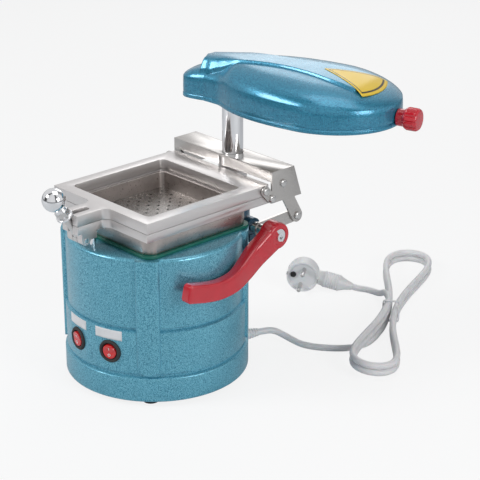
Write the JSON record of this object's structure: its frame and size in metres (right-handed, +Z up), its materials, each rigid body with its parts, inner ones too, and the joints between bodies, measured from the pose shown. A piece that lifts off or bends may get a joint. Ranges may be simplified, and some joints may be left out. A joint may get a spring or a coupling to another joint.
{
  "type": "vacuum former",
  "caption": "Bench vacuum former with a round blue housing, a hinged clamping frame that a side lever lifts on a chrome post, and a domed heater hood that swings aside.",
  "frame": {"origin": "on the standing surface, on the round housing's axis, at the middle of the ring of feet", "axes": "+Z up, -Y towards the operator, where the switches and the frame's clamp are, +X to the side of the lift lever, +Y to the post"},
  "size_m": [0.2959, 0.5449, 0.3171],
  "materials": {
    "hammered_blue": "hammered metallic blue enamel, semi-gloss",
    "hood_blue": "hammered metallic blue enamel, semi-gloss",
    "bracket_blue": "dark blue enamel on a casting",
    "cast_silver": "cast and machined, satin",
    "sheet_silver": "plain sheet, satin",
    "bright_steel": "turned, bright",
    "chrome": "polished",
    "green_seal": "moulded green silicone",
    "red_plastic": "red lacquer, glossy",
    "black_plastic": "moulded black",
    "red_rocker": "clear red, glossy",
    "white_cord": "white cable jacket",
    "black_rubber": "moulded",
    "motor_grey": "plain sheet",
    "heater_ceramic": "pale ceramic"
  },
  "bodies": {
    "root": {"body_shell": "hammered_blue", "base_plate": "sheet_silver", "rubber_feet": "black_rubber", "vacuum_motor": "motor_grey", "rear_bracket": "bracket_blue", "post": "chrome", "gasket": "green_seal", "vacuum_tray": "cast_silver", "perforated_plate": "sheet_silver", "stop_pin": "chrome", "bezel_vacuum": "black_plastic", "bezel_heat": "black_plastic", "cord_gland": "white_cord", "cord_lead": "white_cord", "cord_hank": "white_cord", "cord_tail": "white_cord", "cord_tie": "white_cord", "plug_body": "white_cord", "plug_pins": "bright_steel"},
    "carrier": {"carrier_bracket": "sheet_silver", "carrier_bushing": "cast_silver", "lower_frame": "cast_silver", "frame_rivets": "bright_steel", "clamp_pin": "bright_steel", "hinge_pins": "bright_steel"},
    "top_frame": {"upper_frame": "cast_silver"},
    "clamp_bolt": {"swing_bolt": "bright_steel"},
    "clamp_knob": {"ball_knob": "chrome"},
    "lever": {"lever_shaft": "bright_steel", "lever_handle": "red_plastic", "lever_screw": "chrome", "crank_bars": "sheet_silver", "crank_rivets": "bright_steel"},
    "links": {"link_left": "sheet_silver", "link_right": "sheet_silver"},
    "hood": {"hood_shell": "hood_blue", "hood_hub": "cast_silver", "heater_pan": "sheet_silver", "heater_element": "heater_ceramic", "hood_knob": "red_plastic"},
    "vacuum_button": {"rocker_vacuum": "red_rocker"},
    "heat_button": {"rocker_heat": "red_rocker"}
  },
  "joints": [
    {"name": "hood_swivel", "type": "hinge", "parent": "root", "child": "hood", "pos_m": [0, 0.1075, 0.269], "axis": [0, 0, 1], "range_deg": [-108, 72]},
    {"name": "lever_turn", "type": "hinge", "parent": "root", "child": "lever", "pos_m": [0, 0.08, 0.152], "axis": [1, 0, 0], "range_deg": [0, 30.33]},
    {"name": "carrier_lift", "type": "slide", "parent": "root", "child": "carrier", "axis": [0, 0, 1], "range_m": [0, 0.0292]},
    {"name": "link_turn", "type": "hinge", "parent": "lever", "child": "links", "pos_m": [0, 0.13096, 0.15396], "axis": [1, 0, 0], "range_deg": [-41.69, 1]},
    {"name": "frame_open", "type": "hinge", "parent": "carrier", "child": "top_frame", "pos_m": [0, 0.0835, 0.1927], "axis": [-1, 0, 0], "range_deg": [0, 70]},
    {"name": "clamp_swing", "type": "hinge", "parent": "carrier", "child": "clamp_bolt", "pos_m": [0, -0.096, 0.1703], "axis": [1, 0, 0], "range_deg": [-31, 45]},
    {"name": "knob_spin", "type": "hinge", "parent": "clamp_bolt", "child": "clamp_knob", "pos_m": [0, -0.096, 0.1703], "axis": [0, -0.515, 0.8572], "continuous": true},
    {"name": "vacuum_switch_tilt", "type": "hinge", "parent": "root", "child": "vacuum_button", "pos_m": [-0.0128, -0.0911, 0.056], "axis": [0.9903, -0.1392, 0], "range_deg": [-12, 0]},
    {"name": "heat_switch_tilt", "type": "hinge", "parent": "root", "child": "heat_button", "pos_m": [0.03147, -0.08645, 0.056], "axis": [0.9397, 0.342, 0], "range_deg": [-12, 0]}
  ],
  "couplings": [
    {"joint": "carrier_lift", "follows": "lever_turn", "m_per_rad": 0.054784},
    {"joint": "link_turn", "follows": "lever_turn", "ratio": -1.3417}
  ]
}
